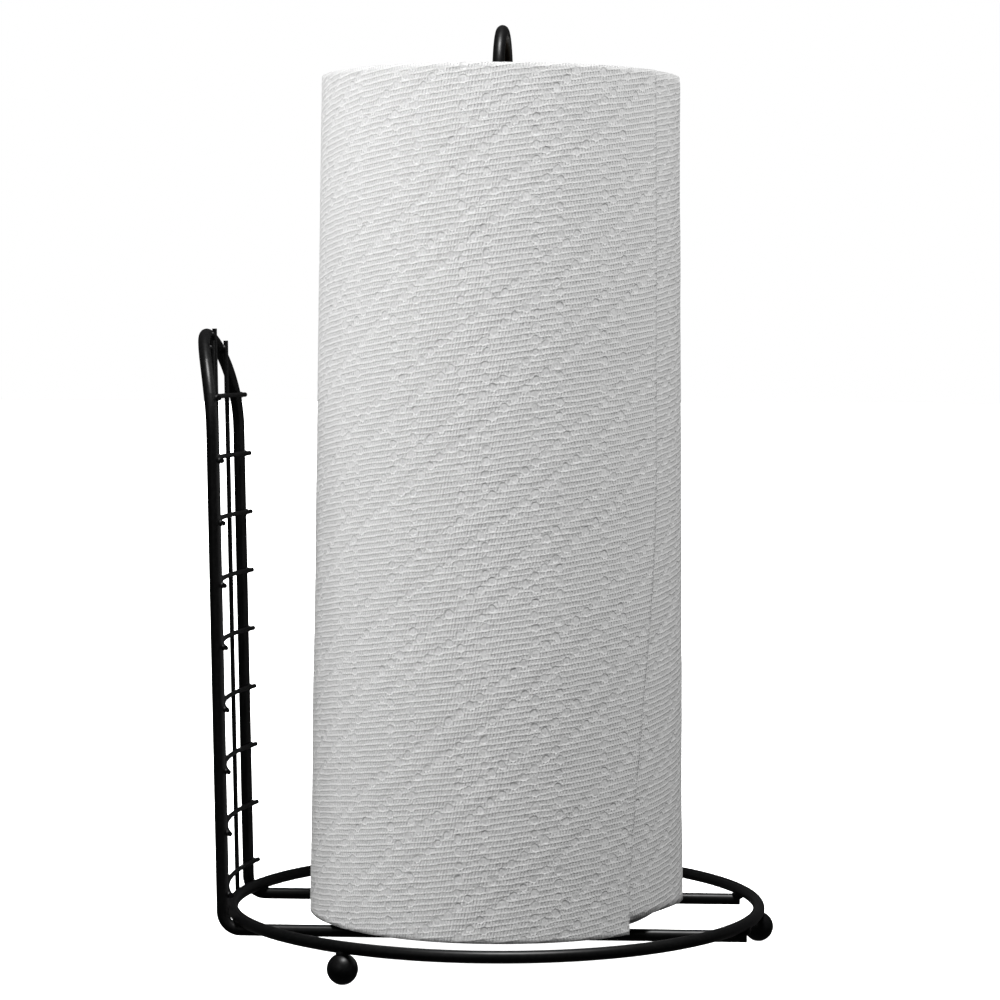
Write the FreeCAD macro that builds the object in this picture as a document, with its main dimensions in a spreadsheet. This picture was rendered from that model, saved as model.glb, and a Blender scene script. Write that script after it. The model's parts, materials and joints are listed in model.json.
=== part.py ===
import FreeCAD, Part
import math
import os
import Sketcher

# Paper towel holder: a welded wire stand with a full paper roll on it.
#
# +Z is up. The origin is on the floor, on the axis of the ring and the roll. The tall guard
# stands on the -X side. The rails run along X, and the post and guard spread along Y.

# Driving sizes: alias, value in millimetres or degrees, meaning.
SIZES = [
    ("wire_dia", 4.0, "bar of the ring, the guard frame and the post"),
    ("thin_dia", 1.6, "wire of the guard's uprights and cross wires"),
    ("weld_sink", 0.15, "depth that two welded pieces melt into each other"),
    ("ring_dia", 178.0, "ring, centre of the bar to centre of the bar"),
    ("ball_dia", 10.0, "ball feet"),
    ("ball_angle", 120.0, "angle between neighbouring ball feet"),
    ("rail_spacing", 65.0, "guard legs and rails, centre to centre"),
    ("rail_overrun", 1.0, "rail end past the middle of the ring's bar"),
    ("guard_bend", 6.0, "bend from guard leg to rail, at the middle of the bar"),
    ("guard_height", 206.0, "floor to the top of the guard's arch"),
    ("guard_lean", 1.2, "outward lean of the guard, degrees"),
    ("upright_spacing", 16.2, "between neighbouring thin uprights"),
    ("upright_tail", 1.0, "thin uprights below the middle of the ring's bar"),
    ("cross_first", 19.6, "floor to the lowest cross wire"),
    ("cross_last", 22.8, "highest cross wire to the top of the arch"),
    ("post_above", 17.7, "top of the post above the roll"),
    ("post_spacing", 33.0, "post legs, centre to centre"),
    ("post_bend", 4.5, "bend from post leg to its foot, at the middle of the bar"),
    ("post_shift", 1.3, "middle of the post past the ring's middle, away from the guard"),
    ("post_turn", 2.7, "turn of the post's loop from square across the rails, degrees"),
    ("roll_height", 279.4, "paper roll, end to end"),
    ("roll_top_dia", 118.2, "wound paper at its upper end"),
    ("roll_low_dia", 124.0, "wound paper at its lower end, a little loosened"),
    ("roll_rest_gap", 0.4, "rails to the lower end of the roll"),
    ("post_room", 2.0, "post to the inside of the cardboard tube, each side"),
    ("core_wall", 0.9, "cardboard tube, thickness"),
    ("core_gap", 0.3, "cardboard tube to the first turn of paper"),
    ("sheet_gap", 0.4, "last sheet to the roll behind it"),
    ("sheet_thick", 0.5, "last sheet, embossed and quilted"),
    ("sheet_arc", 255.0, "part of a turn that the last sheet covers, degrees"),
    ("sheet_edge", -35.0, "direction of the last sheet's free edge, degrees from +X"),
]
CROSS_WIRES = 9
ARCH_SPANS = 4

# Places that follow from the sizes. They are expressions on the sheet's aliases.
WIRE_R = "(Sizes.wire_dia / 2)"
THIN_R = "(Sizes.thin_dia / 2)"
RING_R = "(Sizes.ring_dia / 2)"
RAIL_Y = "(Sizes.rail_spacing / 2)"
RING_Z = f"(Sizes.ball_dia + {WIRE_R} - Sizes.weld_sink)"
RAIL_Z = f"({RING_Z} - Sizes.wire_dia + Sizes.weld_sink)"
ROLL_Z = f"({RAIL_Z} + {WIRE_R} + Sizes.roll_rest_gap)"
BORE_R = f"(Sizes.post_spacing / 2 + {WIRE_R} + Sizes.post_room)"
CORE_R = f"({BORE_R} + Sizes.core_wall)"
PAPER_R = f"({CORE_R} + Sizes.core_gap)"
# The thin uprights stand against the ring's outer side.
UPRIGHT_R = f"({RING_R} + {WIRE_R} + {THIN_R} - Sizes.weld_sink)"
# The guard frame stands against the outer side of the uprights.
GUARD_R = f"({UPRIGHT_R} + {THIN_R} + {WIRE_R} - Sizes.weld_sink)"
LEG_X = f"(sqrt({GUARD_R}^2 - {RAIL_Y}^2))"
LEAN = "(tan(Sizes.guard_lean * 1 deg))"
RAIL_END_X = f"(sqrt({RING_R}^2 - {RAIL_Y}^2) + Sizes.rail_overrun)"
SHOULDER_Z = f"(Sizes.guard_height - {WIRE_R} - {RAIL_Y})"
# The post's feet end in the inner sides of the rails.
POST_REACH = f"({RAIL_Y} - {WIRE_R} + Sizes.weld_sink)"
POST_HIGH = f"({ROLL_Z} + Sizes.roll_height + Sizes.post_above)"
POST_TOP_Z = f"({POST_HIGH} - {WIRE_R} - Sizes.post_spacing / 2)"
CROSS_MID_X = f"({UPRIGHT_R} - Sizes.thin_dia + Sizes.weld_sink)"

doc = FreeCAD.newDocument("paper_towel_holder")
parts = []


def make_sheet():
    """The driving sizes, one named cell each."""
    sheet = doc.addObject("Spreadsheet::Sheet", "Sizes")
    for row, (alias, value, meaning) in enumerate(SIZES, start=1):
        sheet.set(f"A{row}", meaning)
        sheet.set(f"B{row}", str(value))
        sheet.setAlias(f"B{row}", alias)
    doc.recompute()
    return sheet


sheet = make_sheet()


def bind(item, **expressions):
    """Tie properties to the sheet."""
    for name, expression in expressions.items():
        item.setExpression(name, expression)
    return item


def place(item, x=None, y=None, z=None):
    """Tie an object's position to the sheet."""
    for axis, expression in (("x", x), ("y", y), ("z", z)):
        if expression is not None:
            item.setExpression(f"Placement.Base.{axis}", expression)
    return item


def turn(item, axis, expression):
    """Tie an object's rotation about a fixed axis to the sheet."""
    item.Placement.Rotation = FreeCAD.Rotation(axis, 10)
    item.setExpression("Placement.Rotation.Angle", expression)
    return item


def keep(item, name):
    """Name a finished piece; the name is its file's name too."""
    item.Label = name
    parts.append(item)
    return item


def number(expression):
    """The value of a place, for geometry that is worked out here."""
    value = sheet.evalExpression(expression)
    return float(getattr(value, "Value", value))


def wire_section(name, expression):
    """The round section of a bar, bound to its diameter."""
    return bind(doc.addObject("Part::Circle", name), Radius=expression)


def sweep(name, section, path):
    """A round bar along a path, with the section standing at the path's start."""
    bar = doc.addObject("Part::Sweep", name)
    bar.Sections = [section]
    bar.Spine = (path, [f"Edge{i + 1}" for i in range(len(path.Shape.Edges))])
    bar.Solid = True
    return bar


def base_ring():
    ring = doc.addObject("Part::Torus", "base_ring")
    bind(ring, Radius1=RING_R, Radius2=WIRE_R)
    place(ring, z=RING_Z)
    keep(ring, "base_ring")


def tangent_arc(start, direction, end):
    """The arc that leaves start along direction and reaches end."""
    chord = end - start
    side = chord - direction * chord.dot(direction)
    bow = chord.Length ** 2 / (2 * side.Length)
    normal = side / side.Length
    centre = start + normal * bow
    spokes = (start - centre) + (end - centre)
    middle = centre + spokes / spokes.Length * bow
    return Part.Arc(start, middle, end).toShape()


def double_arc(start, start_way, end, end_way):
    """Two tangent arcs from start to end that keep both end directions."""
    chord = end - start
    ways = start_way + end_way
    turn_part = 2 * (1 - start_way.dot(end_way))
    along = chord.dot(ways)
    reach = (math.sqrt(along ** 2 + turn_part * chord.dot(chord)) - along) / turn_part
    joint = (start + start_way * reach + end - end_way * reach) / 2
    back = tangent_arc(end, end_way * -1, joint)
    return [tangent_arc(start, start_way, joint), back]


def guard_path():
    """One bar: rail, bend, leg, arch, leg, bend, rail.

    The arch is a half circle seen from the front, and it is wrapped round the ring, so
    its top stands further out than its legs.
    """
    half = number(RAIL_Y)
    plan_r = number(GUARD_R)
    leg_x = number(LEG_X)
    rail_z = number(RAIL_Z)
    slope = number(LEAN)
    bend = number("Sizes.guard_bend")
    ring_z = number(RING_Z)
    shoulder_z = number(SHOULDER_Z)
    end_x = number(RAIL_END_X)
    vector = FreeCAD.Vector

    # The bend joins a level rail to a leg that leans out a little.
    tilt = math.atan(slope)
    bend_angle = math.pi / 2 - tilt
    bend_reach = bend * math.tan(bend_angle / 2)

    def corner(y):
        return vector(-leg_x + slope * (ring_z - rail_z), y, rail_z)

    def leg_way():
        return vector(-math.sin(tilt), 0, math.cos(tilt))

    def arch_point(angle):
        y = half * math.cos(angle)
        z = shoulder_z + half * math.sin(angle)
        bulge = math.sqrt(plan_r ** 2 - y ** 2) - leg_x
        x = -leg_x - slope * (z - ring_z) - bulge
        return vector(x, y, z)

    def arch_way(angle):
        y = half * math.cos(angle)
        y_rate = -half * math.sin(angle)
        z_rate = half * math.cos(angle)
        x_rate = -slope * z_rate + y * y_rate / math.sqrt(plan_r ** 2 - y ** 2)
        way = vector(x_rate, y_rate, z_rate)
        return way / way.Length

    def rail_and_leg(y, shoulder):
        point = corner(y)
        bend_start = point + vector(bend_reach, 0, 0)
        bend_end = point + leg_way() * bend_reach
        return [
            Part.makeLine(vector(end_x, y, rail_z), bend_start),
            tangent_arc(bend_start, vector(-1, 0, 0), bend_end),
            Part.makeLine(bend_end, shoulder),
        ]

    edges = rail_and_leg(half, arch_point(0))
    for span in range(ARCH_SPANS):
        low = math.pi * span / ARCH_SPANS
        high = math.pi * (span + 1) / ARCH_SPANS
        edges += double_arc(arch_point(low), arch_way(low), arch_point(high), arch_way(high))
    edges += rail_and_leg(-half, arch_point(math.pi))[::-1]
    path = doc.addObject("Part::Feature", "guard_path")
    path.Shape = Part.Wire(Part.__sortEdges__(edges))
    return path


def guard_frame():
    path = guard_path()
    section = wire_section("guard_section", WIRE_R)
    turn(section, FreeCAD.Vector(0, 1, 0), "90")
    place(section, RAIL_END_X, RAIL_Y, RAIL_Z)
    keep(sweep("guard_frame_bar", section, path), "guard_frame")


def post_path():
    """Foot, bend, leg, round top, leg, bend, foot, as a sketch in the YZ plane."""
    sketch = doc.addObject("Sketcher::SketchObject", "post_path")
    sketch.Placement = FreeCAD.Placement(
        FreeCAD.Vector(0, 0, 0), FreeCAD.Rotation(FreeCAD.Vector(1, 1, 1), 120)
    )
    vector = FreeCAD.Vector
    half = number("Sizes.post_spacing / 2")
    bend = number("Sizes.post_bend")
    foot_y = number(POST_REACH)
    foot_z = number(RAIL_Z)
    top_z = number(POST_TOP_Z)
    up = vector(0, 0, 1)
    quarter = math.pi / 2
    right_bend = Part.Circle(vector(half + bend, foot_z + bend, 0), up, bend)
    left_bend = Part.Circle(vector(-half - bend, foot_z + bend, 0), up, bend)
    top = Part.Circle(vector(0, top_z, 0), up, half)
    shapes = [
        Part.LineSegment(vector(foot_y, foot_z, 0), vector(half + bend, foot_z, 0)),
        Part.ArcOfCircle(right_bend, 2 * quarter, 3 * quarter),
        Part.LineSegment(vector(half, foot_z + bend, 0), vector(half, top_z, 0)),
        Part.ArcOfCircle(top, 0, 2 * quarter),
        Part.LineSegment(vector(-half, top_z, 0), vector(-half, foot_z + bend, 0)),
        Part.ArcOfCircle(left_bend, 3 * quarter, 4 * quarter),
        Part.LineSegment(vector(-half - bend, foot_z, 0), vector(-foot_y, foot_z, 0)),
    ]
    sketch.addGeometry(shapes, False)
    # Joints between neighbours: (piece, its end, next piece, its end).
    joints = [(0, 2, 1, 2), (1, 1, 2, 1), (2, 2, 3, 1), (3, 2, 4, 1), (4, 2, 5, 2), (5, 1, 6, 1)]
    for joint in joints:
        sketch.addConstraint(Sketcher.Constraint("Tangent", *joint))
    sketch.addConstraint(Sketcher.Constraint("Horizontal", 0))
    sketch.addConstraint(Sketcher.Constraint("Vertical", 2))
    sketch.addConstraint(Sketcher.Constraint("Horizontal", 6))
    sketch.addConstraint(Sketcher.Constraint("Equal", 1, 5))
    sketch.addConstraint(Sketcher.Constraint("PointOnObject", 3, 3, -2))
    sized = {
        "bend": (("Radius", 1), "Sizes.post_bend"),
        "top": (("Radius", 3), "Sizes.post_spacing / 2"),
        "top_z": (("DistanceY", -1, 1, 3, 3), POST_TOP_Z),
        "right_y": (("DistanceX", -1, 1, 0, 1), POST_REACH),
        "left_y": (("DistanceX", 6, 2, -1, 1), POST_REACH),
        "right_z": (("DistanceY", -1, 1, 0, 1), RAIL_Z),
        "left_z": (("DistanceY", -1, 1, 6, 2), RAIL_Z),
    }
    for name, (what, expression) in sized.items():
        constraint = Sketcher.Constraint(*what, number(expression))
        index = sketch.addConstraint(constraint)
        sketch.renameConstraint(index, name)
        sketch.setExpression(f"Constraints.{name}", expression)
    doc.recompute()
    return sketch


def post_loop():
    path = post_path()
    section = wire_section("post_section", WIRE_R)
    turn(section, FreeCAD.Vector(1, 0, 0), "90")
    place(section, y=POST_REACH, z=RAIL_Z)
    bar = sweep("post_loop_bar", section, path)
    turn(bar, FreeCAD.Vector(0, 0, 1), "-Sizes.post_turn")
    place(bar, x="Sizes.post_shift")
    keep(bar, "post_loop")


def uprights():
    """Three thin wires from the ring to the arch's outline, leaning with the guard."""
    names = {"front": -1, "middle": 0, "back": 1}
    for name, side in names.items():
        y = f"({side} * Sizes.upright_spacing)"
        low = f"({RING_Z} - Sizes.upright_tail)"
        arch = f"(sqrt(({RAIL_Y} + {WIRE_R})^2 - {y}^2))"
        top = f"({SHOULDER_Z} + {arch})"
        wire = doc.addObject("Part::Cylinder", f"upright_{name}_wire")
        bind(wire, Radius=THIN_R, Height=f"({top} - {low}) / cos(Sizes.guard_lean * 1 deg)")
        turn(wire, FreeCAD.Vector(0, 1, 0), "-Sizes.guard_lean")
        plan = f"(sqrt({UPRIGHT_R}^2 - {y}^2))"
        place(wire, f"-{plan} + {LEAN} * Sizes.upright_tail", y, low)
        keep(wire, f"upright_{name}")


def cross_wire(index):
    """A thin arc that touches the middle upright and the frame on both sides."""
    span = "(Sizes.guard_height - Sizes.cross_last - Sizes.cross_first)"
    z = f"(Sizes.cross_first + {index} * {span} / {CROSS_WIRES - 1})"
    rise = f"(max(0; {z} - {SHOULDER_Z}))"
    frame_y = f"(sqrt({RAIL_Y}^2 - {rise}^2))"
    frame_x = f"(sqrt({GUARD_R}^2 - {frame_y}^2))"
    touch_y = f"({frame_y} * {UPRIGHT_R} / {GUARD_R})"
    sag = f"({CROSS_MID_X} - {frame_x} * {UPRIGHT_R} / {GUARD_R})"
    radius = f"(({touch_y}^2 + {sag}^2) / (2 * {sag}))"
    half_angle = f"(asin(({frame_y} + {WIRE_R}) / {radius}) / 1 deg)"
    lean = f"({LEAN} * ({z} - {RING_Z}))"
    name = f"cross_wire_{index + 1}"
    arc = doc.addObject("Part::Torus", f"{name}_arc")
    bind(arc, Radius1=radius, Radius2=THIN_R, Angle3=f"2 * {half_angle}")
    turn(arc, FreeCAD.Vector(0, 0, 1), f"180 - {half_angle}")
    place(arc, x=f"{radius} - {CROSS_MID_X} - {lean}", z=z)
    keep(arc, name)


def feet():
    """Ball feet under the ring, spread evenly."""
    names = {"right": 0, "back": 1, "front": -1}
    for name, step in names.items():
        ball = doc.addObject("Part::Sphere", f"foot_{name}_ball")
        bind(ball, Radius="Sizes.ball_dia / 2")
        angle = f"({step} * Sizes.ball_angle * 1 deg)"
        place(ball, f"{RING_R} * cos({angle})", f"{RING_R} * sin({angle})", "Sizes.ball_dia / 2")
        keep(ball, f"foot_{name}")


def roll_core():
    """The cardboard tube, as a padded ring."""
    body = doc.addObject("PartDesign::Body", "roll_core_body")
    sketch = body.newObject("Sketcher::SketchObject", "roll_core_sketch")
    plane = [item for item in body.Origin.OriginFeatures if item.Role == "XY_Plane"][0]
    sketch.AttachmentSupport = (plane, [""])
    sketch.MapMode = "FlatFace"
    circles = {"bore": BORE_R, "outside": CORE_R}
    for index, (name, radius) in enumerate(circles.items()):
        value = number(radius)
        centre = FreeCAD.Vector(0, 0, 0)
        sketch.addGeometry(Part.Circle(centre, FreeCAD.Vector(0, 0, 1), value), False)
        sketch.addConstraint(Sketcher.Constraint("Coincident", index, 3, -1, 1))
        constraint = sketch.addConstraint(Sketcher.Constraint("Radius", index, value))
        sketch.renameConstraint(constraint, name)
        sketch.setExpression(f"Constraints.{name}", radius)
    pad = body.newObject("PartDesign::Pad", "roll_core_pad")
    pad.Profile = sketch
    bind(pad, Length="Sizes.roll_height")
    place(body, z=ROLL_Z)
    keep(body, "roll_core")


def roll_cone(name, offset):
    """The roll's outline, slightly wider at its lower end, grown by an offset."""
    cone = doc.addObject("Part::Cone", name)
    bind(cone, Radius1=f"Sizes.roll_low_dia / 2 + {offset}", Height="Sizes.roll_height")
    bind(cone, Radius2=f"Sizes.roll_top_dia / 2 + {offset}")
    return cone


def towel_roll():
    """The wound paper, open in the middle for the cardboard tube."""
    outside = roll_cone("towel_outside", "0")
    bore = doc.addObject("Part::Cylinder", "towel_bore")
    bind(bore, Radius=PAPER_R, Height="Sizes.roll_height")
    roll = doc.addObject("Part::Cut", "towel_cut")
    roll.Base = outside
    roll.Tool = bore
    place(roll, z=ROLL_Z)
    keep(roll, "towel_roll")


def last_sheet():
    """The outermost sheet: a thin wrap that ends in a free edge."""
    inside = roll_cone("last_sheet_inside", "Sizes.sheet_gap")
    outside = roll_cone("last_sheet_outside", "(Sizes.sheet_gap + Sizes.sheet_thick)")
    for cone in (inside, outside):
        bind(cone, Angle="Sizes.sheet_arc")
    wrap = doc.addObject("Part::Cut", "last_sheet_wrap")
    wrap.Base = outside
    wrap.Tool = inside
    turn(wrap, FreeCAD.Vector(0, 0, 1), "Sizes.sheet_edge - Sizes.sheet_arc")
    place(wrap, z=ROLL_Z)
    keep(wrap, "last_sheet")


def check_document():
    """Stop on any failed object and on any empty or broken shape."""
    for item in doc.Objects:
        if "Invalid" in item.State or "Error" in item.State:
            raise RuntimeError(f"{item.Name} failed: {item.State}")
    for item in parts:
        if item.Shape.isNull() or not item.Shape.isValid() or not item.Shape.Solids:
            raise RuntimeError(f"{item.Label} has no valid solid")


def write_parts():
    os.makedirs("parts", exist_ok=True)
    for item in parts:
        item.Shape.exportStep(f"parts/{item.Label}.step")
        print(item.Label, round(item.Shape.Volume, 1))


base_ring()
guard_frame()
post_loop()
uprights()
for number_up in range(CROSS_WIRES):
    cross_wire(number_up)
feet()
roll_core()
towel_roll()
last_sheet()
doc.recompute()
check_document()
write_parts()
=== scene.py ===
"""A wire paper towel holder with a full roll of embossed paper.

The wires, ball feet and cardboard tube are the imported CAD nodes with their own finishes. The wound
paper, its last sheet and the weld beads are modelled here. Lengths are metres, and the emboss is laid
out in millimetres.
"""

import json
import math

import bmesh
import bpy
from mathutils import Matrix, Vector, noise
from mathutils.bvhtree import BVHTree


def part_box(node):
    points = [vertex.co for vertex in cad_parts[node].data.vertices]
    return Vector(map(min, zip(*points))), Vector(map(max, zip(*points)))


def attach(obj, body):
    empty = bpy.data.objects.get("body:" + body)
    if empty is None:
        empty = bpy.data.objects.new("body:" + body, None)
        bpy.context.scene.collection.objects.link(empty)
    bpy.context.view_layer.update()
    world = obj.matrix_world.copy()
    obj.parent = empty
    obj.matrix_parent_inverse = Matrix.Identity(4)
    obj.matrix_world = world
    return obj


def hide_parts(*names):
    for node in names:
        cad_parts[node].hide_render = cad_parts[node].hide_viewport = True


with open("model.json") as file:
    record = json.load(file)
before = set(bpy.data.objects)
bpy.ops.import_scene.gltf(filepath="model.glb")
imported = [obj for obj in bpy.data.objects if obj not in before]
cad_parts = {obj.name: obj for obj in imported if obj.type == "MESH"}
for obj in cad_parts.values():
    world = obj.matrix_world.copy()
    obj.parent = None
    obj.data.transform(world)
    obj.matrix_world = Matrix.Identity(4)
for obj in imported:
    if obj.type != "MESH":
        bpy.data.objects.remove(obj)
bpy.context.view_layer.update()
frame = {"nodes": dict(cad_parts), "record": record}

MM = 0.001
HOLDER = "holder"
TOWEL = "towel"

# The wound paper
TURNS = 56
ROUND_STEPS = 256
WALL_ROWS = 118
TURN_GROOVE = 0.55 * MM
END_WANDER = 0.45 * MM
RAISED_EDGE = 5.2 * MM
RAISED_AT = math.radians(-26)
RAISED_SPREAD = math.radians(44)
RAISED_DEPTH = 9 * MM
RAISED_FADE = 45 * MM
RIM_BAND = 1.6 * MM
RIM_INSET = 0.10 * MM

# The last sheet, which starts where the winding's step is and ends in a free edge
SHEET_START = math.radians(-290)
SHEET_EDGE_TOP = math.radians(-30.5)
SHEET_EDGE_LOW = math.radians(-44)
EDGE_DRIFT_FROM = 0.165
SHEET_ACROSS = 196
SHEET_UP = 200
SHEET_THICK = 0.42 * MM
SHEET_LIFT = 0.10 * MM
EDGE_LIFT = 0.30 * MM
EDGE_LIFT_WIDTH = 9 * MM
EDGE_TEETH = 0.35 * MM
# How far the sheet's emboss is shifted from that of the turn below
SHEET_SHIFT = 11.3 * MM

# The emboss, in millimetres on the flat sheet
ROW_LEAN = math.radians(7.7)
ROW_PITCH = 1.8
STITCH_PITCH = 1.07
CHAIN_SLOPE = 0.78
CHAIN_REPEAT = 61.4
CHAIN_STARTS = (0.0, 9.0, 26.0, 36.0)
STEM_REPEAT = 24.3
STEM_PLACES = (0.0, 8.1)
STEM_RUNS = ((17.5, 1), (48.7, 2))
STEM_PITCH = 4.24
CHAIN_PITCH = STEM_REPEAT / 7
DIMPLE_RADIUS = 1.15
DIMPLE_DEPTH = 0.10 * MM
# Heights of the fine relief, in millimetres
STITCH_HEIGHT = -0.21
CREST_HEIGHT = 0.046
PIT_HEIGHT = -0.14
RIM_HEIGHT = 0.045
LUMP_HEIGHT = 0.30
QUILT_HEIGHT = 0.15
FIBRE_HEIGHT = 0.05
# Slow waves over the flat sheet: height, turns per millimetre across and up (as radians), and start
ACROSS_WAVES = ((0.26, 0.19, 0.37, 0.4), (0.12, 0.83, -0.61, 2.0))
UP_WAVES = ((0.30, 0.33, -0.14, 1.3), (0.14, -0.72, 0.94, 0.2))
PRESS_WAVES = ((0.24, 0.41, 0.17, 0.9), (0.22, -0.13, 0.62, 2.6), (0.18, 1.30, 0.90, 4.0))
PRESS_MIDDLE = 0.80

# Puckers of the paper: size across, height
PUCKERS = ((34 * MM, 0.20 * MM), (11 * MM, 0.07 * MM))
# The soft roll isn't quite round: direction, spread, bulge at the foot, bulge at the top
BULGES = (
    (math.radians(-2), math.radians(55), 1.5 * MM, 1.4 * MM),
    (math.radians(180), math.radians(45), 0.8 * MM, 0.0),
)

# Height between the tube's spiral joints
TUBE_PITCH = 0.078

# Weld beads, by how many of the two joined wires are thin ones
BEAD_RADII = (2.12 * MM, 1.22 * MM, 0.95 * MM)
# Crossings closer than this are one weld
WELD_REACH = 7 * MM
FLOOR_RADIUS = 9

# Camera
CAMERA_PLACE = (0.04624, -0.99193, 0.20184)
CAMERA_TURN = 2.616
CAMERA_TILT = 86.937
CAMERA_ROLL = 0.238
CAMERA_LENS = 106.26

# Soft boxes: name, place, height aimed at, size, watts
PAPER_LIGHTS = (
    ("left side", (-0.90, -0.25, 0.62), 0.24, 0.45, 2.78),
    ("left near", (-0.50, -0.40, 0.62), 0.26, 0.35, 3.60),
    ("right high", (0.45, -0.35, 0.85), 0.26, 0.60, 5.05),
    ("right side", (0.90, -0.20, 0.60), 0.24, 0.60, 1.74),
    ("behind", (0.05, 1.15, 0.65), 0.20, 0.50, 5.5),
)
SHARED_LIGHT = ("front left", (-0.35, -0.90, 0.65), 0.24, 0.70, 1.34)
# The holder's own overhead soft box, which draws the bright line along its wires' tops
OVERHEAD = ("overhead", (0.10, -0.25, 1.15), 0.0, 0.30, 26.0)
FLOOR_LIGHT = 11.0
SURROUNDINGS_LIGHT = 0.054


def smooth_step(low, high, value):
    """0 below low, 1 above high, and an even S between."""
    part = min(1.0, max(0.0, (value - low) / (high - low)))
    return part * part * (3 - 2 * part)


def wrap(value, reach):
    """value moved by whole repeats into -reach to reach."""
    return (value + reach) % (2 * reach) - reach


def widest(node, low, high):
    """The largest distance from the post's axis of a node's points between two heights."""
    points = frame["nodes"][node].data.vertices
    return max(math.hypot(p.co.x, p.co.y) for p in points if low <= p.co.z <= high)


ROLL_LOW, ROLL_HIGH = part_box("towel_roll")
ROLL_HEIGHT = ROLL_HIGH.z - ROLL_LOW.z
LOW_RADIUS = widest("towel_roll", ROLL_LOW.z - MM, ROLL_LOW.z + MM)
TOP_RADIUS = widest("towel_roll", ROLL_HIGH.z - MM, ROLL_HIGH.z + MM)
BORE_RADIUS = widest("roll_core", ROLL_LOW.z, ROLL_HIGH.z) + 0.15 * MM


def wall_radius(z):
    """The cone of the full roll, from its foot to its narrower top."""
    return LOW_RADIUS + (TOP_RADIUS - LOW_RADIUS) * (z - ROLL_LOW.z) / ROLL_HEIGHT


def turn_pitch(z):
    """How far one turn of paper steps out at that height."""
    return (wall_radius(z) - BORE_RADIUS) / (TURNS + 1)


def waves(table, across, up):
    """The sum of a table's slow waves at a point of the flat sheet."""
    return sum(height * math.sin(a * across + b * up + start) for height, a, b, start in table)


def dimple_gap(across, up):
    """Distance in millimetres from a point of the flat sheet to the nearest dimple's middle."""
    across, up = across + waves(ACROSS_WAVES, across, up), up + waves(UP_WAVES, across, up)
    level = up - CHAIN_SLOPE * across
    near = 1e9
    side = wrap(across, CHAIN_PITCH / 2)
    for start in CHAIN_STARTS:
        rise = wrap(level - start, CHAIN_REPEAT / 2)
        near = min(near, math.hypot(side, rise + CHAIN_SLOPE * side))
    for place in STEM_PLACES:
        side = wrap(across - place, STEM_REPEAT / 2)
        stem_level = level + CHAIN_SLOPE * side
        for middle, ends in STEM_RUNS:
            rise = wrap(stem_level - middle, CHAIN_REPEAT / 2)
            nearest = min(ends, max(-ends, round(rise / STEM_PITCH)))
            near = min(near, math.hypot(side, rise - STEM_PITCH * nearest))
    return near


def bulge(angle, z):
    """How far the soft roll stands out of round there."""
    rise = (z - ROLL_LOW.z) / ROLL_HEIGHT
    out = 0.0
    for middle, spread, at_foot, at_top in BULGES:
        away = wrap(angle - middle, math.pi)
        out += (at_foot + (at_top - at_foot) * rise) * math.exp(-((away / spread) ** 2))
    return out


def paper_relief(angle, z, across):
    """Small radial lift of the paper: soft puckers, and the pressed dimples."""
    radius = wall_radius(z)
    spot = Vector((radius * math.cos(angle), radius * math.sin(angle), z))
    lift = sum(height * noise.noise(spot / size) for size, height in PUCKERS)
    gap = dimple_gap(across / MM, z / MM)
    pressed = max(0.05, PRESS_MIDDLE + waves(PRESS_WAVES, across / MM, z / MM))
    return lift - DIMPLE_DEPTH * pressed * math.exp(-((gap / DIMPLE_RADIUS) ** 2))


# Nodes ---------------------------------------------------------------------------------------------------


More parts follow.
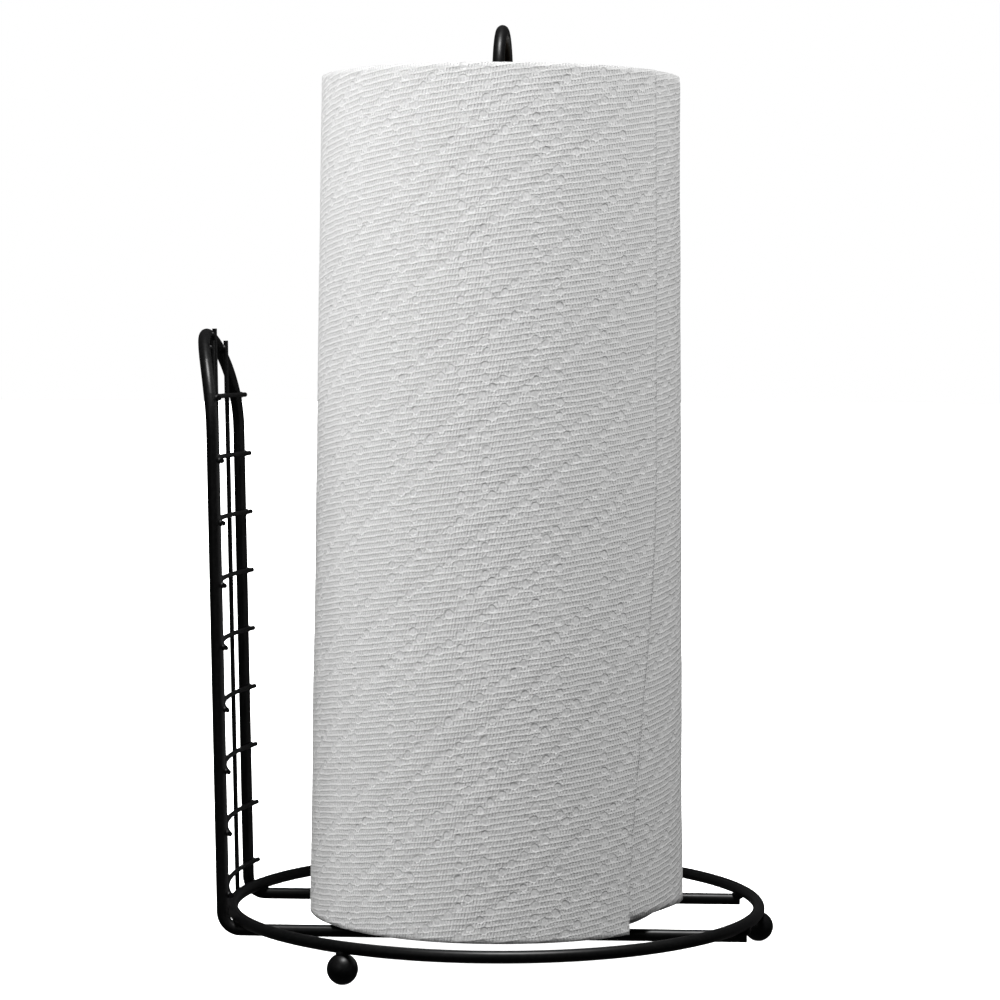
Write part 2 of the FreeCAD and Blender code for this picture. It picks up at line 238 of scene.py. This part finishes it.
class Graph:
    """One material's nodes, wired by values or sockets."""

    def __init__(self, name, colour, roughness, specular=0.5, metallic=0.0):
        self.material = bpy.data.materials.new(name)
        self.material.use_nodes = True
        self.tree = self.material.node_tree
        self.shader = self.tree.nodes["Principled BSDF"]
        self.set(self.shader.inputs["Base Color"], (*colour, 1))
        self.set(self.shader.inputs["Roughness"], roughness)
        self.set(self.shader.inputs["Specular IOR Level"], specular)
        self.set(self.shader.inputs["Metallic"], metallic)

    def set(self, socket, value):
        if isinstance(value, bpy.types.NodeSocket):
            self.tree.links.new(value, socket)
        else:
            socket.default_value = value

    def add(self, kind, **settings):
        node = self.tree.nodes.new(kind)
        for name, value in settings.items():
            setattr(node, name, value)
        return node

    def math(self, operation, *values):
        node = self.add("ShaderNodeMath", operation=operation)
        for socket, value in zip(node.inputs, values):
            self.set(socket, value)
        return node.outputs[0]

    def blend(self, share, low, high):
        """low where share is 0 and high where it is 1."""
        node = self.add("ShaderNodeMapRange", clamp=True)
        self.set(node.inputs["Value"], share)
        self.set(node.inputs["To Min"], low)
        self.set(node.inputs["To Max"], high)
        return node.outputs[0]

    def fade(self, value, start, end):
        """0 at start and 1 at end, with an even S between."""
        node = self.add("ShaderNodeMapRange", clamp=True, interpolation_type="SMOOTHSTEP")
        self.set(node.inputs["Value"], value)
        self.set(node.inputs["From Min"], start)
        self.set(node.inputs["From Max"], end)
        return node.outputs[0]

    def place(self):
        """Object coordinates, in metres."""
        return self.add("ShaderNodeTexCoord").outputs["Object"]

    def split(self, vector):
        node = self.add("ShaderNodeSeparateXYZ")
        self.set(node.inputs[0], vector)
        return node.outputs

    def join(self, x, y, z=0.0):
        node = self.add("ShaderNodeCombineXYZ")
        for socket, value in zip(node.inputs, (x, y, z)):
            self.set(socket, value)
        return node.outputs[0]

    def noise(self, vector, scale, detail=2.0, roughness=0.5):
        node = self.add("ShaderNodeTexNoise")
        self.set(node.inputs["Vector"], vector)
        self.set(node.inputs["Scale"], scale)
        self.set(node.inputs["Detail"], detail)
        self.set(node.inputs["Roughness"], roughness)
        return node.outputs[0]

    def tint(self, share, low, high):
        """Colour low where share is 0 and high where it is 1, to the shader."""
        node = self.add("ShaderNodeMix", data_type="RGBA")
        self.set(node.inputs["Factor"], share)
        self.set(node.inputs["A"], (*low, 1))
        self.set(node.inputs["B"], (*high, 1))
        colour_out = [s for s in node.outputs if s.type == "RGBA"][0]
        self.set(self.shader.inputs["Base Color"], colour_out)

    def bump(self, height, depth, strength=1.0):
        """height in units of depth metres, to the shader's normal."""
        node = self.add("ShaderNodeBump")
        self.set(node.inputs["Height"], height)
        self.set(node.inputs["Distance"], depth)
        self.set(node.inputs["Strength"], strength)
        self.set(self.shader.inputs["Normal"], node.outputs[0])


def wrapped(graph, value, reach):
    return graph.math("WRAP", value, reach, -reach)


def wave_nodes(graph, table, across, up):
    """waves() as nodes."""
    total = 0.0
    for height, a, b, start in table:
        phase = graph.math("MULTIPLY_ADD", across, a, start)
        phase = graph.math("MULTIPLY_ADD", up, b, phase)
        total = graph.math("MULTIPLY_ADD", graph.math("SINE", phase), height, total)
    return total


def dimple_gap_nodes(graph, across, up):
    """dimple_gap() as nodes."""
    along = wave_nodes(graph, ACROSS_WAVES, across, up)
    up = graph.math("ADD", up, wave_nodes(graph, UP_WAVES, across, up))
    across = graph.math("ADD", across, along)
    level = graph.math("SUBTRACT", up, graph.math("MULTIPLY", across, CHAIN_SLOPE))
    side = wrapped(graph, across, CHAIN_PITCH / 2)
    slant = graph.math("MULTIPLY", side, CHAIN_SLOPE)
    side_square = graph.math("MULTIPLY", side, side)
    gaps = []
    for start in CHAIN_STARTS:
        rise = wrapped(graph, graph.math("SUBTRACT", level, start), CHAIN_REPEAT / 2)
        rise = graph.math("ADD", rise, slant)
        gaps.append(graph.math("MULTIPLY_ADD", rise, rise, side_square))
    for place in STEM_PLACES:
        side = wrapped(graph, graph.math("SUBTRACT", across, place), STEM_REPEAT / 2)
        side_square = graph.math("MULTIPLY", side, side)
        stem_level = graph.math("MULTIPLY_ADD", side, CHAIN_SLOPE, level)
        for middle, ends in STEM_RUNS:
            rise = wrapped(graph, graph.math("SUBTRACT", stem_level, middle), CHAIN_REPEAT / 2)
            nearest = graph.math("ROUND", graph.math("DIVIDE", rise, STEM_PITCH))
            nearest = graph.math("MINIMUM", graph.math("MAXIMUM", nearest, -ends), ends)
            rise = graph.math("MULTIPLY_ADD", nearest, -STEM_PITCH, rise)
            gaps.append(graph.math("MULTIPLY_ADD", rise, rise, side_square))
    near = gaps[0]
    for gap in gaps[1:]:
        near = graph.math("MINIMUM", near, gap)
    return graph.math("SQRT", near)


def embossed_paper():
    """Soft white paper: knit-like rows of small stitches, crossed by chains of pressed dimples, with
    painted shade in both.
    """
    graph = Graph("embossed_paper", (0.84, 0.84, 0.835), 0.94, specular=0.2)
    flat = graph.add("ShaderNodeUVMap", uv_map="sheet").outputs[0]
    across, up, _ = graph.split(flat)
    across = graph.math("MULTIPLY", across, 1000)
    up = graph.math("MULTIPLY", up, 1000)
    spot = graph.join(across, up)

    wander = graph.noise(spot, 0.16, 2.0)
    jitter = graph.noise(spot, 0.9, 1.0)
    lean_cos, lean_sin = math.cos(ROW_LEAN), math.sin(ROW_LEAN)
    along = graph.math("MULTIPLY_ADD", across, lean_cos, graph.math("MULTIPLY", up, lean_sin))
    over = graph.math("MULTIPLY_ADD", across, -lean_sin, graph.math("MULTIPLY", up, lean_cos))
    over = graph.math("MULTIPLY_ADD", wander, 0.8, over)
    over = graph.math("MULTIPLY_ADD", jitter, 0.3, over)
    along = graph.math("MULTIPLY_ADD", jitter, 0.45, along)

    row = graph.math("DIVIDE", over, ROW_PITCH)
    row_number = graph.math("FLOOR", row)
    row_part = graph.math("FRACT", row)
    crest = graph.math("ADD", graph.fade(row_part, 0.45, 0.12), graph.fade(row_part, 0.84, 1.0))
    crest = graph.math("MULTIPLY", crest, graph.blend(graph.noise(spot, 0.6, 2.0), 0.55, 1.45))
    band = graph.math("MULTIPLY", graph.fade(row_part, 0.14, 0.36), graph.fade(row_part, 1.0, 0.86))
    slant = graph.math("MULTIPLY_ADD", row_part, -0.35, graph.math("DIVIDE", along, STITCH_PITCH))
    slant = graph.math("MULTIPLY_ADD", row_number, 0.47, slant)
    stitch = graph.math("SINE", graph.math("MULTIPLY", slant, 2 * math.pi))
    stitch = graph.math("MULTIPLY", graph.fade(stitch, -0.35, 0.85), band)
    strength = graph.blend(graph.noise(spot, 0.35, 2.0), 0.45, 1.45)
    stitch = graph.math("MULTIPLY", stitch, strength)

    gap = dimple_gap_nodes(graph, across, up)
    gap = graph.math("MULTIPLY_ADD", graph.math("SUBTRACT", jitter, 0.5), 0.5, gap)
    inside = graph.fade(gap, 1.45, 0.95)
    pressed = graph.math("ADD", wave_nodes(graph, PRESS_WAVES, across, up), PRESS_MIDDLE)
    pressed = graph.math("MAXIMUM", pressed, 0.05)
    pit = graph.math("MULTIPLY", inside, pressed)
    rim = graph.math("MULTIPLY", graph.fade(gap, 0.9, 1.6), graph.fade(gap, 2.6, 1.6))
    rim = graph.math("MULTIPLY", rim, pressed)
    lumps = graph.noise(spot, 0.42, 2.0)
    quilt = graph.fade(gap, 0.6, 4.2)

    knit = graph.math("MULTIPLY_ADD", stitch, STITCH_HEIGHT, graph.math("MULTIPLY", crest, CREST_HEIGHT))
    smoothed = graph.math("MULTIPLY", graph.fade(gap, 1.9, 1.2), 0.85)
    knit = graph.math("MULTIPLY", knit, graph.math("SUBTRACT", 1.0, smoothed))
    fibres = graph.noise(graph.join(across, graph.math("MULTIPLY", up, 1.7)), 2.6, 3.0, 0.65)
    height = graph.math("MULTIPLY_ADD", pit, PIT_HEIGHT, knit)
    height = graph.math("MULTIPLY_ADD", rim, RIM_HEIGHT, height)
    height = graph.math("MULTIPLY_ADD", lumps, LUMP_HEIGHT, height)
    height = graph.math("MULTIPLY_ADD", quilt, QUILT_HEIGHT, height)
    height = graph.math("MULTIPLY_ADD", fibres, FIBRE_HEIGHT, height)
    graph.bump(height, MM)

    # Painted shade: the colour is darker in the stitch holes and inside the dimples, where shade falls; the
    # fibres add a random tone.
    shade = graph.math("MULTIPLY_ADD", stitch, -0.46, 1.0)
    shade = graph.math("MULTIPLY_ADD", pit, -0.14, shade)
    shade = graph.math("MULTIPLY_ADD", graph.math("SUBTRACT", fibres, 0.5), 0.25, shade)
    graph.tint(shade, (0.66, 0.66, 0.665), (0.86, 0.86, 0.855))
    return graph.material


def cut_paper_ends():
    """The roll's two ends: edges of the turns, packed unevenly, with soft cut fibres and painted shade
    between the paper's layers.
    """
    graph = Graph("cut_paper_ends", (0.82, 0.82, 0.81), 0.96, specular=0.15)
    place = graph.place()
    x, y, z = graph.split(place)
    radius = graph.math("SQRT", graph.math("MULTIPLY_ADD", x, x, graph.math("MULTIPLY", y, y)))
    fuzz = graph.noise(place, 900, 3.0, 0.7)
    wave = graph.noise(place, 60, 2.0)
    layer = graph.math("MULTIPLY_ADD", wave, 0.0007, radius)
    layer = graph.math("MULTIPLY_ADD", fuzz, 0.0002, layer)
    line = graph.math("SINE", graph.math("MULTIPLY", layer, 2 * math.pi / (0.36 * MM)))
    pack = graph.noise(graph.join(radius, 0.0), 330, 2.0)
    height = graph.math("MULTIPLY_ADD", line, 0.05, graph.math("MULTIPLY", fuzz, 0.22))
    height = graph.math("MULTIPLY_ADD", pack, 0.20, height)
    graph.bump(height, MM)
    # Painted shade: the fine ring lines darken the colour in the thin gaps between the paper's layers; the
    # packing and the fibres add a random tone.
    shade = graph.math("MULTIPLY_ADD", line, 0.14, graph.math("MULTIPLY", pack, 0.9))
    shade = graph.math("MULTIPLY_ADD", fuzz, 0.45, shade)
    graph.tint(shade, (0.60, 0.60, 0.595), (0.87, 0.87, 0.86))
    return graph.material


def powder_coat():
    """Satin black powder coat: near black, with a faint orange peel and slightly uneven gloss."""
    graph = Graph("black_powder_coat", (0.003, 0.003, 0.0031), 0.38, specular=0.16)
    place = graph.place()
    peel = graph.noise(place, 850, 2.0, 0.55)
    cloud = graph.noise(place, 90, 3.0)
    grit = graph.noise(place, 4200, 1.0)
    height = graph.math("MULTIPLY_ADD", grit, 0.12, peel)
    graph.bump(height, 0.05 * MM, 0.6)
    graph.set(graph.shader.inputs["Roughness"], graph.blend(cloud, 0.29, 0.47))
    graph.tint(graph.fade(peel, 0.35, 0.75), (0.0018, 0.0018, 0.0019), (0.0042, 0.0042, 0.0043))
    return graph.material


def weld_coat():
    """The same coat over a weld, a little rougher and duller."""
    graph = Graph("coated_weld", (0.003, 0.003, 0.0031), 0.45, specular=0.16)
    place = graph.place()
    ripple = graph.noise(place, 1500, 3.0, 0.6)
    graph.bump(ripple, 0.12 * MM, 0.7)
    graph.set(graph.shader.inputs["Roughness"], graph.blend(ripple, 0.35, 0.58))
    graph.tint(ripple, (0.0018, 0.0018, 0.0019), (0.0045, 0.0045, 0.0046))
    return graph.material


def cardboard():
    """Grey-brown tube board: a spiral joint, fibres along the winding, and a paler cut edge."""
    graph = Graph("tube_cardboard", (0.36, 0.27, 0.18), 0.85, specular=0.25)
    place = graph.place()
    x, y, z = graph.split(place)
    angle = graph.math("ARCTAN2", y, x)
    arc = graph.math("MULTIPLY", angle, BORE_RADIUS)
    spiral = graph.math("MULTIPLY_ADD", angle, TUBE_PITCH / (2 * math.pi), z)
    band = wrapped(graph, spiral, TUBE_PITCH / 2)
    joint = graph.fade(graph.math("ABSOLUTE", band), 0.9 * MM, 0.35 * MM)
    fibre_place = graph.join(
        graph.math("MULTIPLY", graph.math("MULTIPLY_ADD", z, 0.55, arc), 300),
        graph.math("MULTIPLY", graph.math("MULTIPLY_ADD", arc, -0.55, z), 2400),
    )
    fibres = graph.noise(fibre_place, 1.0, 3.0, 0.6)
    blotch = graph.noise(place, 140, 3.0)
    flecks = graph.fade(graph.noise(place, 1500, 1.0), 0.62, 0.74)
    shade = graph.math("MULTIPLY_ADD", fibres, 0.5, graph.math("MULTIPLY", blotch, 0.55))
    shade = graph.math("MULTIPLY_ADD", joint, -0.45, shade)
    shade = graph.math("MULTIPLY_ADD", flecks, -0.25, shade)
    graph.tint(shade, (0.20, 0.145, 0.095), (0.52, 0.41, 0.285))
    height = graph.math("MULTIPLY_ADD", joint, -1.2, graph.math("MULTIPLY", fibres, 0.35))
    graph.bump(height, 0.15 * MM)
    return graph.material


def floor_paint():
    """Plain pale studio floor, with a trace of unevenness."""
    graph = Graph("studio_floor", (0.9, 0.9, 0.9), 0.8, specular=0.1)
    cloud = graph.noise(graph.place(), 3.0, 2.0)
    graph.tint(cloud, (0.895, 0.895, 0.895), (0.905, 0.905, 0.905))
    return graph.material


# Pieces --------------------------------------------------------------------------------------------------


def finish_piece(bm, name, body, materials):
    """The smooth-shaded mesh as a named piece that rides on a body and finishes."""
    mesh = bpy.data.meshes.new(name)
    bm.to_mesh(mesh)
    bm.free()
    mesh.polygons.foreach_set("use_smooth", [True] * len(mesh.polygons))
    for material in materials:
        mesh.materials.append(material)
    piece = bpy.data.objects.new(name, mesh)
    bpy.context.scene.collection.objects.link(piece)
    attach(piece, body)
    return piece


def half_section():
    """Points round one half of the wound paper, from the bore's foot: radius as turns, and height share."""
    points = []
    for turn in range(TURNS):
        points.append((turn, 0.0, 1))
        points.append((turn + 0.5, 0.0, 0))
    points.append((TURNS, 0.0, 1))
    for row in range(1, WALL_ROWS):
        points.append((TURNS, row / WALL_ROWS, 0))
    for turn in range(TURNS, 0, -1):
        points.append((turn, 1.0, 1))
        points.append((turn - 0.5, 1.0, 0))
    points.append((0, 1.0, 1))
    points.append((0, 0.5, 0))
    return points


def wound_point(turn, share, groove, part):
    """Where a section's point lies after part of a full turn: its angle, radius and height."""
    angle = SHEET_START + 2 * math.pi * part
    z = ROLL_LOW.z + ROLL_HEIGHT * share
    radius = BORE_RADIUS + turn_pitch(z) * (turn + part)
    outer = smooth_step(TURNS - RAISED_DEPTH / turn_pitch(z), TURNS, turn + part)
    away = wrap(angle - RAISED_AT, math.pi)
    raised = RAISED_EDGE * outer * math.exp(-((away / RAISED_SPREAD) ** 2))
    uneven = 1 - smooth_step(TURNS - 3, TURNS - 0.5, turn)
    if share == 1.0:
        z -= uneven * (groove * TURN_GROOVE + END_WANDER * end_wander(turn + part, 7.0))
    elif share < 1.0:
        low = 1 - smooth_step(0, RAISED_FADE, z - ROLL_LOW.z)
        z += raised * low
    if share == 0.0:
        z += uneven * (groove * TURN_GROOVE + END_WANDER * end_wander(turn + part, 3.0))
    return angle, radius, z


def end_wander(turns, seed):
    """How unevenly the turns' edges stand, from 0 to 1: bands of turns a little in or out."""
    band = noise.noise(Vector((turns * 0.21, seed, 0.5)))
    each = noise.noise(Vector((turns * 1.3, seed, 9.5)))
    return min(1.0, max(0.0, 0.5 + 0.8 * band + 0.35 * each))


def make_wound_paper(paper, ends):
    """The wound paper as one spiral solid, with grooved ends and a step where its last turn stops."""
    section = half_section()
    bm = bmesh.new()
    verts = [bm.verts.new((1 + turn, 0, share)) for turn, share, _ in section]
    edges = [bm.edges.new((a, b)) for a, b in zip(verts, verts[1:] + verts[:1])]
    bmesh.ops.spin(
        bm,
        geom=verts + edges,
        cent=(0, 0, 0),
        axis=(0, 0, 1),
        angle=2 * math.pi,
        steps=ROUND_STEPS,
        use_merge=False,
    )
    bm.verts.ensure_lookup_table()
    count = len(section)
    uv = bm.loops.layers.uv.new("sheet")
    parts = {}
    for vert in bm.verts:
        part = vert.index // count / ROUND_STEPS
        turn = math.hypot(vert.co.x, vert.co.y) - 1
        groove = 1 if abs(turn - round(turn)) < 0.01 else 0
        share = round(vert.co.z, 6)
        angle, radius, z = wound_point(turn, share, groove, part)
        on_wall = turn > TURNS - 0.01
        if on_wall:
            inset = 1 - smooth_step(0, RIM_BAND, min(z - ROLL_LOW.z, ROLL_HIGH.z - z))
            relief = paper_relief(angle, z, LOW_RADIUS * 2 * math.pi * part)
            radius += bulge(angle, z) + relief * (1 - inset)
            radius -= RIM_INSET * inset * inset
        vert.co = (radius * math.cos(angle), radius * math.sin(angle), z)
        parts[vert] = (part, z, on_wall)
    for face in bm.faces:
        walled = all(parts[v][2] for v in face.verts)
        face.material_index = 0 if walled else 1
        for loop in face.loops:
            part, z, _ = parts[loop.vert]
            loop[uv].uv = (LOW_RADIUS * 2 * math.pi * part, z)
    bmesh.ops.remove_doubles(bm, verts=bm.verts, dist=0.01 * MM)
    rim = [edge for edge in bm.edges if edge.is_boundary]
    filled = bmesh.ops.holes_fill(bm, edges=rim, sides=0)["faces"]
    bmesh.ops.triangulate(bm, faces=filled)
    bmesh.ops.recalc_face_normals(bm, faces=bm.faces)
    piece = finish_piece(bm, "wound_paper", TOWEL, (paper, ends))
    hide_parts("towel_roll")
    return piece


def make_outer_sheet(paper):
    """The last sheet: laid on the winding, its free edge lifted a little and drifting towards the foot."""
    bm = bmesh.new()
    bmesh.ops.create_grid(bm, x_segments=SHEET_ACROSS, y_segments=SHEET_UP, size=1)
    uv = bm.loops.layers.uv.new("sheet")
    flat = {}
    for vert in bm.verts:
        share, rise = (vert.co.x + 1) / 2, (vert.co.y + 1) / 2
        z = ROLL_LOW.z + ROLL_HEIGHT * rise
        drift = 1 - smooth_step(ROLL_LOW.z, EDGE_DRIFT_FROM, z)
        edge = SHEET_EDGE_TOP + (SHEET_EDGE_LOW - SHEET_EDGE_TOP) * drift
        angle = SHEET_START + (edge - SHEET_START) * share
        to_edge = (1 - share) * (edge - SHEET_START) * LOW_RADIUS
        if share == 1.0:
            angle += EDGE_TEETH / LOW_RADIUS * noise.noise(Vector((z / (1.3 * MM), 4.0, 2.0)))
        part = (angle - SHEET_START) / (2 * math.pi)
        across = LOW_RADIUS * 2 * math.pi * part
        lift = SHEET_LIFT + SHEET_THICK / 2
        lift += EDGE_LIFT * (1 - smooth_step(0, EDGE_LIFT_WIDTH, to_edge)) * edge_curl(z)
        wall = BORE_RADIUS + turn_pitch(z) * (TURNS + part)
        radius = wall + lift + bulge(angle, z) + paper_relief(angle, z, across)
        vert.co = (radius * math.cos(angle), radius * math.sin(angle), z)
        flat[vert] = (across + SHEET_SHIFT, z)
    for face in bm.faces:
        for loop in face.loops:
            loop[uv].uv = flat[loop.vert]
    bmesh.ops.recalc_face_normals(bm, faces=bm.faces)
    piece = finish_piece(bm, "outer_sheet", TOWEL, (paper,))
    wall = piece.modifiers.new("paper thickness", "SOLIDIFY")
    wall.thickness = SHEET_THICK
    wall.offset = 0
    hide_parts("last_sheet")
    return piece


def edge_curl(z):
    """How strongly the free edge stands off along its height."""
    return 0.65 + 0.5 * noise.noise(Vector((z / (26 * MM), 1.0, 6.0)))


def surface_tree(node):
    """A CAD node's surface as a search tree."""
    bm = bmesh.new()
    bm.from_mesh(frame["nodes"][node].data)
    tree = BVHTree.FromBMesh(bm)
    bm.free()
    return tree


def weld_spots(trees, first, second):
    """Where two welded wires meet: the middle of each patch where their surfaces cross."""
    faces = trees[first].overlap(trees[second])
    mesh = frame["nodes"][first].data
    spots = []
    for index, _ in faces:
        middle = mesh.polygons[index].center
        for group in spots:
            if (group[0] - middle).length < WELD_REACH:
                group.append(middle.copy())
                break
        else:
            spots.append([middle.copy()])
    return [sum(group, Vector()) / len(group) for group in spots]


def make_weld_beads(coat):
    """A low bead at every welded joint, coated with the wires."""
    bm = bmesh.new()
    trees = {name: surface_tree(name) for name in frame["nodes"]}
    done = []
    for first, second in frame["record"]["behaviour"]["press_fits"]:
        thin = sum(name.startswith(("upright", "cross")) for name in (first, second))
        radius = BEAD_RADII[thin]
        for spot in weld_spots(trees, first, second):
            if any((spot - other).length < radius for other in done):
                continue
            done.append(spot)
            bead = bmesh.ops.create_icosphere(bm, subdivisions=3, radius=radius)["verts"]
            for vert in bead:
                wobble = 1 + 0.10 * noise.noise((vert.co + spot) / (1.1 * MM))
                vert.co = spot + Vector((vert.co.x, vert.co.y, vert.co.z * 0.9)) * wobble
    return finish_piece(bm, "weld_beads", HOLDER, (coat,))


def make_floor():
    """A wide round floor under the feet."""
    bm = bmesh.new()
    bmesh.ops.create_circle(bm, cap_ends=True, segments=96, radius=FLOOR_RADIUS)
    mesh = bpy.data.meshes.new("floor")
    bm.to_mesh(mesh)
    bm.free()
    mesh.materials.append(floor_paint())
    floor = bpy.data.objects.new("floor", mesh)
    bpy.context.scene.collection.objects.link(floor)
    floor.visible_diffuse = False
    floor.visible_glossy = False
    return floor


def soft_light(name, place, aim_height, size, power):
    """A square soft box aimed at the post's axis."""
    data = bpy.data.lights.new(name, "AREA")
    data.shape = "SQUARE"
    data.size = size
    data.energy = power
    lamp = bpy.data.objects.new(name, data)
    bpy.context.scene.collection.objects.link(lamp)
    lamp.location = place
    lamp.rotation_mode = "QUATERNION"
    aim = Vector((0, 0, aim_height)) - Vector(place)
    lamp.rotation_quaternion = aim.to_track_quat("-Z", "Y")
    return lamp


def limit(lamp, pieces, state):
    """Light only some pieces (INCLUDE), or keep a lamp's light off them (EXCLUDE)."""
    group = bpy.data.collections.new(lamp.name + " pieces")
    for piece in pieces:
        group.objects.link(piece)
        group.collection_objects[-1].light_linking.link_state = state
    lamp.light_linking.receiver_collection = group


def floor_sun(floor):
    """Wide overhead light for the floor alone, unblocked, so that it is evenly pale."""
    data = bpy.data.lights.new("floor sun", "SUN")
    data.energy = FLOOR_LIGHT
    data.angle = math.radians(150)
    lamp = bpy.data.objects.new("floor sun", data)
    bpy.context.scene.collection.objects.link(lamp)
    group = bpy.data.collections.new("floor only")
    group.objects.link(floor)
    lamp.light_linking.receiver_collection = group
    lamp.light_linking.blocker_collection = group


def make_world():
    """Even pale surroundings: white behind the object, softer as light."""
    world = bpy.data.worlds.new("studio")
    bpy.context.scene.world = world
    world.use_nodes = True
    tree = world.node_tree
    shown = tree.nodes["Background"]
    shown.inputs["Color"].default_value = (1, 1, 1, 1)
    shown.inputs["Strength"].default_value = 1.0
    light = tree.nodes.new("ShaderNodeBackground")
    light.inputs["Color"].default_value = (1, 1, 1, 1)
    light.inputs["Strength"].default_value = SURROUNDINGS_LIGHT
    path = tree.nodes.new("ShaderNodeLightPath")
    mix = tree.nodes.new("ShaderNodeMixShader")
    tree.links.new(path.outputs["Is Camera Ray"], mix.inputs[0])
    tree.links.new(light.outputs[0], mix.inputs[1])
    tree.links.new(shown.outputs[0], mix.inputs[2])
    tree.links.new(mix.outputs[0], tree.nodes["World Output"].inputs["Surface"])


def make_camera():
    data = bpy.data.cameras.new("camera")
    data.lens = CAMERA_LENS
    data.sensor_width = 36
    data.clip_start = 0.01
    camera = bpy.data.objects.new("camera", data)
    bpy.context.scene.collection.objects.link(camera)
    turn = Matrix.Rotation(math.radians(CAMERA_TURN), 4, "Z")
    tilt = Matrix.Rotation(math.radians(CAMERA_TILT), 4, "X")
    roll = Matrix.Rotation(math.radians(CAMERA_ROLL), 4, "Z")
    camera.matrix_world = Matrix.Translation(CAMERA_PLACE) @ turn @ tilt @ roll
    bpy.context.scene.camera = camera


def dress(node, material):
    """A CAD node gets one finish in all its slots."""
    mesh = frame["nodes"][node].data
    if not mesh.materials:
        mesh.materials.append(material)
    for index in range(len(mesh.materials)):
        mesh.materials[index] = material


make_camera()
make_world()

paper = embossed_paper()
coat = powder_coat()
for node in frame["nodes"]:
    if node not in ("roll_core", "towel_roll", "last_sheet"):
        dress(node, coat)
dress("roll_core", cardboard())
dress("towel_roll", paper)
dress("last_sheet", paper)

wound = make_wound_paper(paper, cut_paper_ends())
sheet = make_outer_sheet(paper)
make_weld_beads(weld_coat())
floor = make_floor()

for lamp in PAPER_LIGHTS:
    limit(soft_light(*lamp), (wound, sheet, floor), "INCLUDE")
soft_light(*SHARED_LIGHT)
limit(soft_light(*OVERHEAD), (wound, sheet, floor), "EXCLUDE")
floor_sun(floor)

bpy.context.scene.view_settings.view_transform = "Standard"
